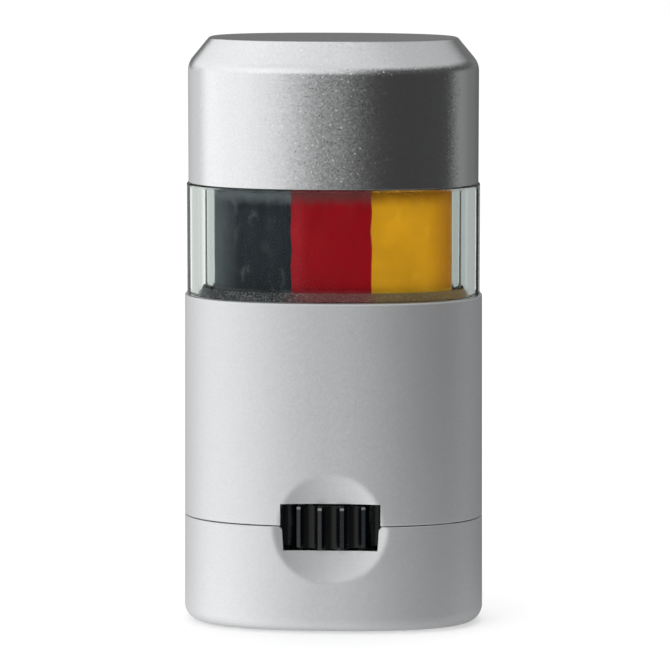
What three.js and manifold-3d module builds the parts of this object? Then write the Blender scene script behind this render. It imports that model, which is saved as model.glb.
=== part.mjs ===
// Push-up stick of body paint in three colours: a thumb wheel lifts the paint out of an oval housing.
// Millimetres, +Z up. The origin is the centre of the foot's underside, and the front faces -Y.
import * as THREE from 'three';
import { mergeVertices } from 'three/addons/utils/BufferGeometryUtils.js';
import Module from 'manifold-3d';

const wasm = await Module();
wasm.setup();

// Heights of the four storeys, from the foot up
const baseHeight = 13.1;
const bodyHeight = 26.9;
const bandHeight = 13.4;
const capHeight = 17.5;

// How far a cut runs out past the material that it cuts
const overshoot = 1;

// Plan of the foot: a superellipse, which every wall follows at an inset of its own
const footHalfWidth = 18.1;
const footHalfDepth = 9.15;
const ovalExponent = 2.4;
const ovalSteps = 60;

// Silver housing: walls, draft and edges
const housingDraft = 0.2;
const housingWall = 1.2;
const floorThickness = 1.6;
const footFillet = 2;
const footFilletSteps = 4;
const seamGap = 0.1;
const seamBevel = 0.15;
const rimRound = 0.2;

// Sloped collar on top of the body, round the foot of the clear tube
const collarHeight = 1;
const collarGap = 0.3;
const collarFootGap = 0.15;
const lipThickness = 1.2;

// Clear sleeve: an outer band hung from a shoulder, an inner tube for the paint, and the cap's neck
const bandStep = 0.3;
const bandWall = 1.3;
const tubeGap = 0.95;
const tubeWall = 0.9;
const shoulderThickness = 1.2;
const neckHeight = 4;
const neckChamfer = 0.4;
const sleeveFloor = 1.2;

// Cap: stands in from the band, with a sloped top edge
const capStep = 0.2;
const capWall = 1.2;
const capRoof = 1.4;
const capSlopeIn = 2.55;
const capSlopeHeight = 3.1;
const capSlopeBlend = 0.35;
const capBlendAtFoot = 0.25;
const capTopRound = 0.3;
const neckGap = 0.3;

// Window for the wheel, half in the body and half in the base, front and back
const windowHalfWidth = 6;
const windowRise = 2.7;
const windowDrop = 3;
const windowStep = 0.2;
const windowTaper = 0.15;
const windowCorner = 0.4;

// Finger dishes round the window: the base's half is the larger one
const bodyDish = { halfWidth: 6.4, halfHeight: 6.57, depth: 0.9 };
const baseDish = { halfWidth: 7.1, halfHeight: 6.96, depth: 1.05 };
const dishBowl = 4;
const dishRings = 9;
const dishSteps = 40;

// Thumb wheel, whose ribs stand a little proud of the foot, front and back
const wheelProud = 0.25;
const wheelPlayAbove = 0.2;
const wheelPlayBelow = 0.15;
const wheelPocketGap = 0.4;
const wheelRibs = 22;
const wheelStepsPerRib = 2;
const wheelTurnedBy = 8.7;
const wheelRibTip = 0.5;
const wheelFluteDepth = 0.9;
const wheelFluteSteps = 6;
const wheelEdge = 0.4;
const wheelRimThickness = 2.2;
const wheelHubRadius = 3.4;
const wheelWeb = 1.6;
const hexSides = 6;

// Pivot in the base, under the wheel
const pivotRadius = 1.5;
const pivotHeight = 1.6;
const pivotGap = 0.1;
const bossRadius = 3.2;
const stiffenerThickness = 1;
const stiffenerHeight = 4.5;

// Locating tongues of the base, inside both ends of the body
const tongueGap = 0.15;
const tongueThickness = 0.9;
const tongueHeight = 2.4;
const tongueRoot = 4;
const tongueFromCentre = 10.8;

// Lead screw: hexagon in the wheel, journal in the sleeve's floor, flange above it, coarse thread
const hexRadius = 1.73;
const hexLength = 3.2;
const hexGap = 0.1;
const journalRadius = 2;
const journalGap = 0.1;
const flangeRadius = 3.6;
const flangeThickness = 0.8;
const flangeLift = 0.2;
const screwCore = 1.8;
const threadRadius = 2.6;
const threadLead = 3;
const threadRoot = 1.3;
const threadCrest = 0.7;
const threadGap = 0.25;
const threadRunout = 0.7;
const threadStepsPerTurn = 16;
const roundSteps = 32;

// Paint carrier: a cup on the screw, drawn with the paint fully wound down
const runningGap = 0.3;
const carrierRimAboveBody = 0.4;
const cupDepth = 3;
const cupFloor = 1;
const cupWall = 0.9;
const skirtDrop = 3;
const stemRadius = 4;
const nutLength = 5;
const stemLift = 0.3;
const gussetThickness = 0.8;

// Paint: three blocks side by side
const paintHeight = 13.2;
const paintEdge = 0.6;
const castGap = 0.1;

// Finishes
const silver = { color: 0xc4c7c9, roughness: 0.34, metalness: 0.85 };
const clear = { color: 0xeef4f2, roughness: 0.05, metalness: 0, transparent: true, opacity: 0.35 };
const blackPlastic = { color: 0x0d0e10, roughness: 0.35, metalness: 0 };
const whitePlastic = { color: 0xe6e6e0, roughness: 0.5, metalness: 0 };
const blackPaint = { color: 0x23272c, roughness: 0.55, metalness: 0 };
const redPaint = { color: 0x98101d, roughness: 0.55, metalness: 0 };
const yellowPaint = { color: 0xd6971a, roughness: 0.55, metalness: 0 };

// Levels
const seamLevel = baseHeight;
const rimLevel = seamLevel + bodyHeight;
const shoulderLevel = rimLevel + bandHeight;
const neckLevel = shoulderLevel + neckHeight;
const sillLevel = seamLevel - windowDrop;
const lintelLevel = seamLevel + windowRise;
const wheelBottom = sillLevel + wheelPlayBelow;
const wheelTop = lintelLevel - wheelPlayAbove;
const sleeveBottom = wheelTop + runningGap;
const sleeveFloorTop = sleeveBottom + sleeveFloor;
const flangeTop = sleeveFloorTop + flangeLift + flangeThickness;
const stemBottom = flangeTop + stemLift;
const carrierRim = rimLevel + carrierRimAboveBody;
const cupFloorTop = carrierRim - cupDepth;
const cupUnderside = cupFloorTop - cupFloor;
const screwTop = cupUnderside - stemLift;

// Radii of the wheel
const wheelRadius = footHalfDepth + wheelProud;
const wheelRimInner = wheelRadius - wheelRimThickness;

// Insets of the walls, from the outside in
const rimInset = housingDraft;
const housingInner = rimInset + housingWall;
const bandOuter = rimInset + bandStep;
const bandInner = bandOuter + bandWall;
const tubeOuter = bandInner + tubeGap;
const tubeInner = tubeOuter + tubeWall;
const collarInner = tubeOuter - collarGap;
const capOuter = bandOuter + capStep;
const capInner = capOuter + capWall;
const neckOuter = capInner + neckGap;
const paintInset = tubeInner + runningGap;
const cupInner = paintInset + cupWall;

// An inset that stands for the axis itself
const onAxis = footHalfWidth;

// Point of the oval at an angle, drawn in by an inset
function ovalPoint(angle, inset) {
  const power = 2 / ovalExponent;
  const across = Math.cos(angle);
  const along = Math.sin(angle);
  return [
    (footHalfWidth - inset) * Math.sign(across) * Math.abs(across) ** power,
    (footHalfDepth - inset) * Math.sign(along) * Math.abs(along) ** power,
  ];
}

// Closed triangle mesh with shared vertices, as a solid
function solid(geometry) {
  const bare = geometry.index ? geometry.toNonIndexed() : geometry.clone();
  bare.deleteAttribute('normal');
  bare.deleteAttribute('uv');
  const welded = mergeVertices(bare);
  const corners = welded.index.array;
  const kept = [];
  for (let i = 0; i < corners.length; i += 3) {
    const triangle = [corners[i], corners[i + 1], corners[i + 2]];
    if (new Set(triangle).size === triangle.length) {
      kept.push(...triangle);
    }
  }
  return new wasm.Manifold(new wasm.Mesh({
    numProp: 3,
    vertProperties: welded.attributes.position.array,
    triVerts: Uint32Array.from(kept),
  }));
}

// Solid of revolution about Z; the profile runs up the outside and down the inside
function turned(profile, steps = roundSteps) {
  const points = profile.map(([radius, z]) => new THREE.Vector2(radius, z));
  const geometry = new THREE.LatheGeometry(points, steps);
  geometry.rotateX(Math.PI / 2);
  return solid(geometry);
}

// The same turned on the oval instead of a circle; the profile's points are an inset and a level
function ovalTurned(profile) {
  const points = profile.map(([inset, z]) => new THREE.Vector2(footHalfWidth - inset, z));
  const geometry = new THREE.LatheGeometry(points, ovalSteps);
  const position = geometry.attributes.position;
  for (let i = 0; i < position.count; i += 1) {
    const radius = Math.hypot(position.getX(i), position.getZ(i));
    const angle = Math.atan2(position.getZ(i), position.getX(i));
    const [x, z] = radius > 0 ? ovalPoint(angle, footHalfWidth - radius) : [0, 0];
    position.setX(i, x);
    position.setZ(i, z);
  }
  geometry.rotateX(Math.PI / 2);
  return solid(geometry);
}

// Upright cylinder, or a prism when it has few sides
function post(radius, bottom, top, sides = roundSteps) {
  const geometry = new THREE.CylinderGeometry(radius, radius, top - bottom, sides);
  geometry.rotateX(Math.PI / 2);
  geometry.translate(0, 0, (top + bottom) / 2);
  return solid(geometry);
}

// Box between two corners
function block(low, high) {
  const size = high.map((value, i) => value - low[i]);
  const geometry = new THREE.BoxGeometry(...size);
  geometry.translate(...low.map((value, i) => value + size[i] / 2));
  return solid(geometry);
}

// Inset of the housing's outside at a level, which draws in steadily towards the rim
function outsideInset(level) {
  return housingDraft * level / rimLevel;
}

// Half of an ellipsoid that opens towards the front, for a finger dish or the skin behind it
function dishBowlSolid(dish, thickness) {
  const depth = dish.depth + thickness;
  const [, sideDepth] = ovalPoint(Math.acos((dish.halfWidth / footHalfWidth) ** (ovalExponent / 2)), 0);
  const depthAtSide = depth - (footHalfDepth - sideDepth);
  const spread = (rimDepth) => Math.sqrt(1 - (1 - rimDepth / (dishBowl + thickness)) ** 2);
  const profile = [];
  for (let i = 0; i <= dishRings; i += 1) {
    const angle = (Math.PI / 2) * (i / dishRings);
    profile.push([Math.sin(angle), -Math.cos(angle)]);
  }
  profile.push([0, 0]);
  const points = profile.map(([radius, height]) => new THREE.Vector2(radius, height));
  const geometry = new THREE.LatheGeometry(points, dishSteps);
  geometry.rotateX(Math.PI);
  geometry.scale(
    (dish.halfWidth + thickness) / spread(depthAtSide),
    dishBowl + thickness,
    (dish.halfHeight + thickness) / spread(depth),
  );
  geometry.translate(0, -(footHalfDepth - depth) - (dishBowl + thickness), seamLevel);
  return solid(geometry);
}

// A feature of the front, repeated at the back
function frontAndBack(feature) {
  return feature.add(feature.mirror([0, 1, 0]));
}

// Prism along Y through the whole housing, with its outline in X and Z
function throughFrontToBack(outline) {
  const shape = new THREE.Shape(outline.map(([x, z]) => new THREE.Vector2(x, z)));
  const reach = footHalfDepth + overshoot;
  const geometry = new THREE.ExtrudeGeometry(shape, { depth: 2 * reach, bevelEnabled: false });
  geometry.rotateX(Math.PI / 2);
  geometry.translate(0, reach, 0);
  return solid(geometry);
}

// Adds a dish to a shell: a skin behind it, then the dish itself
function withDishes(shell, dish, bottom, top) {
  const insideHousing = ovalTurned([
    [onAxis, bottom],
    [housingInner - housingWall / 2, bottom],
    [housingInner - housingWall / 2, top],
    [onAxis, top],
  ]);
  const skins = frontAndBack(dishBowlSolid(dish, housingWall)).intersect(insideHousing);
  return shell.add(skins).subtract(frontAndBack(dishBowlSolid(dish, 0)));
}

// Room for the wheel to turn in
function wheelPocket() {
  return post(wheelRadius + wheelPocketGap, sillLevel, lintelLevel);
}

// Silver body: two half windows, two half dishes, and the sloped collar on its rim
function bodyShell() {
  const bottom = seamLevel + seamGap / 2;
  const lipBottom = rimLevel - lipThickness;
  const wall = ovalTurned([
    [housingInner, bottom],
    [outsideInset(bottom) + seamBevel, bottom],
    [outsideInset(bottom), bottom + seamBevel],
    [rimInset, rimLevel - rimRound],
    [rimInset + rimRound, rimLevel],
    [bandInner + collarFootGap, rimLevel],
    [collarInner, rimLevel + collarHeight],
    [collarInner, lipBottom],
    [housingInner, lipBottom - (collarInner - housingInner)],
    [housingInner, bottom],
  ]);
  const window = throughFrontToBack([
    [-windowHalfWidth, bottom - seamGap],
    [windowHalfWidth, bottom - seamGap],
    [windowHalfWidth, lintelLevel],
    [-windowHalfWidth, lintelLevel],
  ]);
  return withDishes(wall, bodyDish, bottom, rimLevel - lipThickness)
    .subtract(window)
    .subtract(wheelPocket());
}

// Tongues that stand up inside both ends of the body and locate the base
function baseTongues() {
  const outside = housingInner + tongueGap;
  const inside = outside + tongueThickness;
  const root = seamLevel - tongueRoot;
  const tip = seamLevel + tongueHeight;
  const ring = ovalTurned([
    [inside, root],
    [housingInner - tongueGap, root - tongueThickness],
    [housingInner - tongueGap, seamLevel - seamGap / 2 - tongueGap],
    [outside, seamLevel - seamGap / 2],
    [outside, tip - tongueGap],
    [outside + tongueGap, tip],
    [inside, tip],
    [inside, root],
  ]);
  const middle = block(
    [-tongueFromCentre, -footHalfDepth, root - tongueRoot],
    [tongueFromCentre, footHalfDepth, tip + tongueRoot],
  );
  return ring.subtract(middle);
}

// Boss with the wheel's pivot, and the cross of stiffeners under it
function basePivot() {
  const bossTop = wheelBottom - runningGap;
  const inner = ovalTurned([
    [onAxis, floorThickness / 2],
    [housingInner - housingWall / 2, floorThickness / 2],
    [housingInner - housingWall / 2, floorThickness + stiffenerHeight],
    [onAxis, floorThickness + stiffenerHeight],
  ]);
  const half = stiffenerThickness / 2;
  const top = floorThickness + stiffenerHeight;
  const lengthwise = block([-footHalfWidth, -half, 0], [footHalfWidth, half, top]);
  const crosswise = block([-half, -footHalfDepth, 0], [half, footHalfDepth, top]);
  const pivot = turned([
    [0, floorThickness / 2],
    [bossRadius, floorThickness / 2],
    [bossRadius, bossTop],
    [pivotRadius, bossTop],
    [pivotRadius, bossTop + pivotHeight],
    [0, bossTop + pivotHeight],
  ]);
  return lengthwise.add(crosswise).intersect(inner).add(pivot);
}

// Silver base: a cup with a rounded foot, the lower halves of window and dishes, and the wheel's pivot
function baseShell() {
  const top = seamLevel - seamGap / 2;
  const foot = [];
  for (let i = 0; i <= footFilletSteps; i += 1) {
    const angle = (Math.PI / 2) * (i / footFilletSteps);
    foot.push([footFillet * (1 - Math.sin(angle)), footFillet * (1 - Math.cos(angle))]);
  }
  const cup = ovalTurned([
    [onAxis, 0],
    ...foot,
    [outsideInset(top), top - seamBevel],
    [outsideInset(top) + seamBevel, top],
    [housingInner, top],
    [housingInner, floorThickness + housingWall],
    [housingInner + housingWall, floorThickness],
    [onAxis, floorThickness],
  ]);
  const halfAtSeam = windowHalfWidth - windowStep;
  const halfAtSill = halfAtSeam - windowTaper;
  const window = throughFrontToBack([
    [-halfAtSill, sillLevel],
    [halfAtSill, sillLevel],
    [halfAtSeam, top - windowCorner],
    [halfAtSeam + windowCorner, top],
    [halfAtSeam + windowCorner, top + seamGap],
    [-halfAtSeam - windowCorner, top + seamGap],
    [-halfAtSeam - windowCorner, top],
    [-halfAtSeam, top - windowCorner],
  ]);
  return withDishes(cup, baseDish, floorThickness, top)
    .subtract(window)
    .subtract(wheelPocket())
    .add(baseTongues())
    .add(basePivot());
}

// Clear sleeve in one piece: floor, paint tube, outer band on the body's rim, shoulder and neck
function clearSleeve() {
  const bandBottom = rimLevel + seamGap / 2;
  const webBottom = shoulderLevel - shoulderThickness;
  const sleeve = ovalTurned([
    [onAxis, sleeveBottom],
    [tubeOuter, sleeveBottom],
    [tubeOuter, webBottom],
    [bandInner, webBottom],
    [bandInner, bandBottom],
    [bandOuter, bandBottom],
    [bandOuter, shoulderLevel - seamBevel],
    [bandOuter + seamBevel, shoulderLevel],
    [neckOuter, shoulderLevel],
    [neckOuter, neckLevel - neckChamfer],
    [neckOuter + neckChamfer, neckLevel],
    [tubeInner, neckLevel],
    [tubeInner, sleeveFloorTop],
    [onAxis, sleeveFloorTop],
  ]);
  const bore = post(journalRadius + journalGap, sleeveBottom - overshoot, sleeveFloorTop + overshoot);
  return sleeve.subtract(bore);
}

// Silver cap, hollow, with its own origin on the shoulder that it rests on
function capShell() {
  const rest = seamGap;
  const slopeFoot = capHeight - capSlopeHeight;
  const ceiling = capHeight - capRoof;
  const slope = capSlopeIn / capSlopeHeight;
  const lean = Math.atan(slope);
  const innerFoot = slopeFoot - capWall * Math.tan(lean / 2);
  const blendRise = slope * capSlopeBlend;
  const outside = ovalTurned([
    [onAxis, rest],
    [capOuter + seamBevel, rest],
    [capOuter, rest + seamBevel],
    [capOuter, slopeFoot - capSlopeBlend],
    [capOuter + blendRise * capBlendAtFoot, slopeFoot],
    [capOuter + blendRise, slopeFoot + capSlopeBlend],
    [capOuter + capSlopeIn - slope * capTopRound, capHeight - capTopRound],
    [capOuter + capSlopeIn + capTopRound, capHeight],
    [onAxis, capHeight],
  ]);
  const hollow = ovalTurned([
    [onAxis, -rest],
    [capInner, -rest],
    [capInner, innerFoot],
    [capInner + slope * (ceiling - innerFoot), ceiling],
    [onAxis, ceiling],
  ]);
  return outside.subtract(hollow);
}

// Outline of the wheel: narrow ribs between flutes that are arcs
function ribbedOutline() {
  const pitch = (2 * Math.PI) / wheelRibs;
  const tipAngle = wheelRibTip / wheelRadius;
  const chord = wheelRadius * Math.sin((pitch - tipAngle) / 2);
  const chordDistance = wheelRadius * Math.cos((pitch - tipAngle) / 2);
  const sink = wheelFluteDepth - (wheelRadius - chordDistance);
  const fluteRadius = (chord ** 2 + sink ** 2) / (2 * sink);
  const fluteCentre = chordDistance - sink + fluteRadius;
  const sweep = Math.asin(chord / fluteRadius);
  const outline = [];
  for (let rib = 0; rib < wheelRibs; rib += 1) {
    for (let i = 0; i <= wheelFluteSteps; i += 1) {
      const angle = sweep * (1 - (2 * i) / wheelFluteSteps);
      const point = new THREE.Vector2(
        fluteCentre - fluteRadius * Math.cos(angle),
        -fluteRadius * Math.sin(angle),
      );
      outline.push(point.rotateAround(new THREE.Vector2(), rib * pitch));
    }
  }
  return outline;
}

// Black wheel with its own origin on its underside: ribbed rim, web, hub with a hexagonal socket
function thumbWheel() {
  const height = wheelTop - wheelBottom;
  const webBottom = (height - wheelWeb) / 2;
  const webTop = webBottom + wheelWeb;
  const disc = turned([
    [0, 0],
    [wheelHubRadius, 0],
    [wheelHubRadius, webBottom],
    [wheelRimInner, webBottom],
    [wheelRimInner, 0],
    [wheelRadius - wheelEdge, 0],
    [wheelRadius, wheelEdge],
    [wheelRadius, height - wheelEdge],
    [wheelRadius - wheelEdge, height],
    [wheelRimInner, height],
    [wheelRimInner, webTop],
    [wheelHubRadius, webTop],
    [wheelHubRadius, height],
    [0, height],
  ], wheelStepsPerRib * wheelRibs);
  const ribbed = new THREE.ExtrudeGeometry(
    new THREE.Shape(ribbedOutline()),
    { depth: height, bevelEnabled: false },
  );
  const socketFloor = height - hexLength - pivotGap;
  const socket = post(hexRadius + hexGap, socketFloor, height + overshoot, hexSides);
  const pivotHole = post(pivotRadius + pivotGap, -overshoot, pivotHeight);
  return disc
    .intersect(solid(ribbed))
    .rotate([0, 0, wheelTurnedBy])
    .subtract(socket)
    .subtract(pivotHole);
}

// Helical rib of the lead screw, thickened by a gap where it cuts its nut
function threadRib(from, to, gap) {
  const turns = (to - from) / threadLead;
  const steps = Math.ceil(turns * threadStepsPerTurn);
  const inner = screwCore - threadRunout / 2;
  const outer = threadRadius + gap;
  const section = [
    [inner, -threadRoot / 2 - gap],
    [screwCore, -threadRoot / 2 - gap],
    [outer, -threadCrest / 2 - gap],
    [outer, threadCrest / 2 + gap],
    [screwCore, threadRoot / 2 + gap],
    [inner, threadRoot / 2 + gap],
  ];
  const positions = [];
  for (let i = 0; i <= steps; i += 1) {
    const level = from + (to - from) * (i / steps);
    const angle = (2 * Math.PI * level) / threadLead;
    section.forEach(([radius, z]) => {
      positions.push(radius * Math.cos(angle), radius * Math.sin(angle), level + z);
    });
  }
  const sides = section.length;
  const faces = [];
  for (let i = 0; i < steps; i += 1) {
    for (let side = 0; side < sides; side += 1) {
      const next = (side + 1) % sides;
      const here = i * sides;
      const there = here + sides;
      faces.push(here + side, there + side, there + next);
      faces.push(here + side, there + next, here + next);
    }
  }
  for (let side = 1; side < sides - 1; side += 1) {
    faces.push(0, side, side + 1);
    faces.push(steps * sides, steps * sides + side + 1, steps * sides + side);
  }
  const geometry = new THREE.BufferGeometry();
  geometry.setAttribute('position', new THREE.Float32BufferAttribute(positions, 3));
  geometry.setIndex(faces);
  return solid(geometry);
}

// White lead screw, modelled in place because its thread has to be in step with the nut's
function leadScrew() {
  const hexTop = wheelTop + flangeLift / 2;
  const flangeBottom = sleeveFloorTop + flangeLift;
  const shaft = turned([
    [0, hexTop],
    [journalRadius, hexTop],
    [journalRadius, flangeBottom],
    [flangeRadius, flangeBottom],
    [flangeRadius, flangeTop],
    [screwCore, flangeTop],
    [screwCore, screwTop - threadRunout],
    [screwCore - threadRunout, screwTop],
    [0, screwTop],
  ], threadStepsPerTurn);
  const hex = post(hexRadius, wheelTop - hexLength, hexTop + flangeLift / 2, hexSides);
  const rib = threadRib(flangeTop + threadRunout, screwTop - 2 * threadRunout, 0);
  return shaft.add(hex).add(rib);
}

// White carrier, modelled in place: cup, guiding skirt, gussets, and a stem whose foot is the nut
function paintCarrier() {
  const skirtBottom = cupUnderside - skirtDrop;
  const nutTop = stemBottom + nutLength;
  const cup = ovalTurned([
    [onAxis, cupUnderside],
    [cupInner, cupUnderside],
    [cupInner, skirtBottom],
    [paintInset, skirtBottom],
    [paintInset, carrierRim],
    [cupInner, carrierRim],
    [cupInner, cupFloorTop],
    [onAxis, cupFloorTop],
  ]);
  const half = gussetThickness / 2;
  const reach = footHalfWidth - cupInner + cupWall / 2;
  const gusset = block([-reach, -half, skirtBottom], [reach, half, cupFloorTop - cupFloor / 2]);
  const stem = post(stemRadius, stemBottom, cupUnderside + cupFloor / 2);
  const relief = post(threadRadius + runningGap, nutTop, cupUnderside);
  const nutBore = post(
    screwCore + threadGap,
    stemBottom - overshoot,
    nutTop + overshoot,
    threadStepsPerTurn,
  );
  const aboveNut = post(stemRadius, nutTop + overshoot, cupUnderside);
  const groove = threadRib(stemBottom - threadLead, nutTop + threadLead, threadGap);
  const bore = relief.add(nutBore).add(groove.subtract(aboveNut));
  return cup.add(gusset).add(stem).subtract(bore);
}

// One block of paint between two planes, with its own origin on the carrier's rim
function paintBlock(from, to) {
  const footInset = cupInner + castGap;
  const foot = castGap - cupDepth;
  const whole = ovalTurned([
    [onAxis, foot],
    [footInset, foot],
    [footInset, castGap],
    [paintInset, castGap],
    [paintInset, paintHeight - paintEdge],
    [paintInset + paintEdge, paintHeight],
    [onAxis, paintHeight],
  ]);
  return whole.intersect(block(
    [from, -footHalfDepth, foot - overshoot],
    [to, footHalfDepth, paintHeight + overshoot],
  ));
}

// Named mesh from a solid, with a finish and the level of its own origin
function piece(name, body, finish, level = 0) {
  const mesh = body.getMesh();
  const corners = new Float32Array(mesh.numVert * 3);
  for (let i = 0; i < mesh.numVert; i += 1) {
    for (let axis = 0; axis < 3; axis += 1) {
      corners[3 * i + axis] = mesh.vertProperties[mesh.numProp * i + axis];
    }
  }
  const geometry = new THREE.BufferGeometry();
  geometry.setAttribute('position', new THREE.BufferAttribute(corners, 3));
  geometry.setIndex(new THREE.BufferAttribute(new Uint32Array(mesh.triVerts), 1));
  geometry.computeVertexNormals();
  const result = new THREE.Mesh(geometry, new THREE.MeshStandardMaterial(finish));
  result.name = name;
  result.position.z = level;
  return result;
}

// Scene graph: the housing, the cap, what turns, and what rises
const housing = new THREE.Group();
housing.add(piece('base_shell', baseShell(), silver));
housing.add(piece('body_shell', bodyShell(), silver));
housing.add(piece('clear_sleeve', clearSleeve(), clear));

const cap = new THREE.Group();
cap.position.z = shoulderLevel;
cap.add(piece('cap_shell', capShell(), silver));

const drive = new THREE.Group();
drive.add(piece('thumb_wheel', thumbWheel(), blackPlastic, wheelBottom));
drive.add(piece('lead_screw', leadScrew(), whitePlastic));

const paintHalfWidth = footHalfWidth - paintInset;
const paintThird = (2 * paintHalfWidth) / 3;
const paint = new THREE.Group();
paint.position.z = carrierRim;
[['paint_black', blackPaint], ['paint_red', redPaint], ['paint_yellow', yellowPaint]]
  .forEach(([name, finish], i) => {
    const from = -paintHalfWidth + i * paintThird;
    paint.add(piece(name, paintBlock(from, from + paintThird), finish));
  });

const lift = new THREE.Group();
lift.add(piece('paint_carrier', paintCarrier(), whitePlastic));
lift.add(paint);

const stick = new THREE.Group();
stick.add(housing, cap, drive, lift);

export default stick;
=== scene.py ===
"""Looks of a push-up body paint stick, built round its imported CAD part: satin silver housing with a ribbed
wheel in a dished window, and three colours of paint in a clear sleeve under a silver cap.

Sizes in this file are millimetres where a function works on them, and metres in Blender. +Z is up, the front
faces -Y, and the origin is the centre of the foot's underside, as in the CAD part."""

import math
from types import SimpleNamespace

import bmesh
import bpy
import numpy as np
from bpy.props import FloatProperty, FloatVectorProperty, PointerProperty
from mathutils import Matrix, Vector, noise


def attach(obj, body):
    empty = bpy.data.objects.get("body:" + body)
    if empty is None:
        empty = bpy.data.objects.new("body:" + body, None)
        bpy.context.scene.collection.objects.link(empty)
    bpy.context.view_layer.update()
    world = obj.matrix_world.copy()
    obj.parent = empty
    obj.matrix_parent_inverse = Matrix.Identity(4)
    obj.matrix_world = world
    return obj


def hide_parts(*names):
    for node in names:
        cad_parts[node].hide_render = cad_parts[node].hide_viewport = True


bl_info = {
    "name": "Push-up paint stick",
    "version": (1, 0, 0),
    "blender": (4, 5, 0),
    "location": "3D View > Sidebar > Paint stick",
    "description": "Builds the visible pieces of a push-up body paint stick round its CAD part",
    "category": "Object",
}

MM = 0.001

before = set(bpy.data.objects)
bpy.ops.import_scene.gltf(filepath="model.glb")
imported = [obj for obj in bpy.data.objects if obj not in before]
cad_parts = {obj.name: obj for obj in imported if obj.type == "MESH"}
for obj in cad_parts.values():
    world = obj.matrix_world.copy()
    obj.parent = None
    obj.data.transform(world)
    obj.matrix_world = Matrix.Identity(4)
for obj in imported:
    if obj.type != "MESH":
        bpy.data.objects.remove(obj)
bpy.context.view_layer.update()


def linear(hex_colour):
    """An sRGB hex colour as linear red, green and blue."""
    shares = [int(hex_colour[i : i + 2], 16) / 255 for i in (1, 3, 5)]
    return tuple(s / 12.92 if s <= 0.04045 else ((s + 0.055) / 1.055) ** 2.4 for s in shares)


# Sizes in millimetres, with what each is. They are the CAD part's own, but for the web and small roundings.
SIZES = dict(
    foot_half_width=("Half the foot's width", 18.1),
    foot_half_depth=("Half the foot's depth", 9.15),
    base_height=("From the floor to the window's seam", 13.1),
    body_height=("From that seam to the body's rim", 26.9),
    band_height=("Clear band between the rim and the cap", 13.4),
    cap_height=("From the sleeve's shoulder to the top", 17.5),
    draft=("How far the housing draws in up to its rim", 0.2),
    wall=("Walls of the housing and the cap", 1.2),
    floor=("Floor of the base", 1.6),
    foot_fillet=("Radius round the foot", 2.0),
    seam_gap=("Open gap between the silver mouldings", 0.1),
    seam_round=("Radius of both edges of a seam", 0.15),
    rim_round=("Radius of the body's top edge", 0.2),
    collar_height=("Sloped collar inside the clear band", 1.0),
    band_step=("From the rim in to the clear band", 0.3),
    band_wall=("Wall of the clear band", 1.3),
    tube_gap=("Air between the band and the paint tube", 0.95),
    tube_wall=("Wall of the clear paint tube", 0.9),
    sleeve_floor=("Floor of the clear sleeve", 1.2),
    web=("Clear web over the air round the tube", 0.15),
    neck_height=("Clear neck inside the cap", 4.0),
    neck_chamfer=("Chamfer round the neck's mouth", 0.4),
    neck_gap=("Running gap between the cap and the neck", 0.3),
    cap_step=("From the clear band in to the cap", 0.2),
    cap_roof=("Roof of the cap", 1.4),
    cap_slope_in=("How far the cap's sloped edge leans in", 2.55),
    cap_slope_height=("Height of the cap's sloped edge", 3.1),
    cap_slope_round=("Radius where the cap's slope starts", 2.4),
    cap_top_round=("Radius of the cap's top edge", 0.45),
    window_half_width=("Half the window's width in the body", 6.0),
    window_rise=("Window above the seam", 2.7),
    window_drop=("Window below the seam", 3.0),
    window_step=("How much narrower each side is in the base", 0.2),
    window_taper=("Lean of each side towards the sill", 0.15),
    window_corner=("Cut corners of the window in the base", 0.4),
    window_edge=("Rounding of the window's edges", 0.12),
    body_dish_half_width=("Half the width of the body's finger dish", 6.4),
    body_dish_half_height=("Height of the body's dish above the seam", 6.57),
    body_dish_depth=("Depth of the body's dish", 0.9),
    base_dish_half_width=("Half the width of the base's finger dish", 7.1),
    base_dish_half_height=("Height of the base's dish below the seam", 6.96),
    base_dish_depth=("Depth of the base's dish", 1.05),
    dish_bowl=("Half thickness of the dishes' ellipsoid", 4.0),
    dish_blend=("Softening of the edge round the dishes", 0.1),
    wheel_proud=("How far the ribs stand past the foot", 0.25),
    wheel_play_above=("Gap under the window's top", 0.2),
    wheel_play_below=("Gap over the window's sill", 0.15),
    wheel_pocket_gap=("Room round the wheel in the housing", 0.4),
    wheel_rim=("Thickness of the ribbed rim", 2.2),
    wheel_hub=("Radius of the hub", 3.4),
    wheel_web=("Web between the hub and the rim", 1.6),
    rib_round=("Rounding of the ribs' ends", 0.45),
    rib_tip=("Width of each rib's crest", 0.5),
    flute_depth=("Depth between the ribs", 0.9),
    pivot_bore=("Radius of the pivot's hole", 1.6),
    socket=("Radius round the screw's hexagon", 1.83),
    socket_depth=("Depth of the hexagon's socket", 3.3),
    journal_bore=("Radius of the hole in the sleeve's floor", 2.1),
    running_gap=("Clearance between moving pieces", 0.3),
    carrier_rise=("Carrier's rim above the body's rim", 0.4),
    cup_depth=("Depth of the carrier's cup", 3.0),
    cup_wall=("Wall of the carrier's cup", 0.9),
    cast_gap=("Gap between the paint and its cup", 0.1),
    paint_height=("Paint above the carrier's rim", 13.2),
    paint_edge=("Rounding of the paint's top edge", 0.6),
    paint_wave=("How far the joints of the colours wander", 0.14),
    flake=("Size of the flakes in the lacquer", 0.16),
)

# sRGB colours of the materials, with what each is.
COLOURS = dict(
    silver=("Aluminium flake in clear lacquer", "#d9dadb"),
    clear=("Faint tint of the clear sleeve", "#fbfdfc"),
    wheel=("Moulded black of the thumb wheel", "#060709"),
    white=("Natural white of the screw and the carrier", "#e6e6e0"),
    black_paint=("Cast body paint at the left", "#242b31"),
    red_paint=("Cast body paint in the middle", "#a60014"),
    yellow_paint=("Cast body paint at the right", "#eaa61a"),
)


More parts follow.
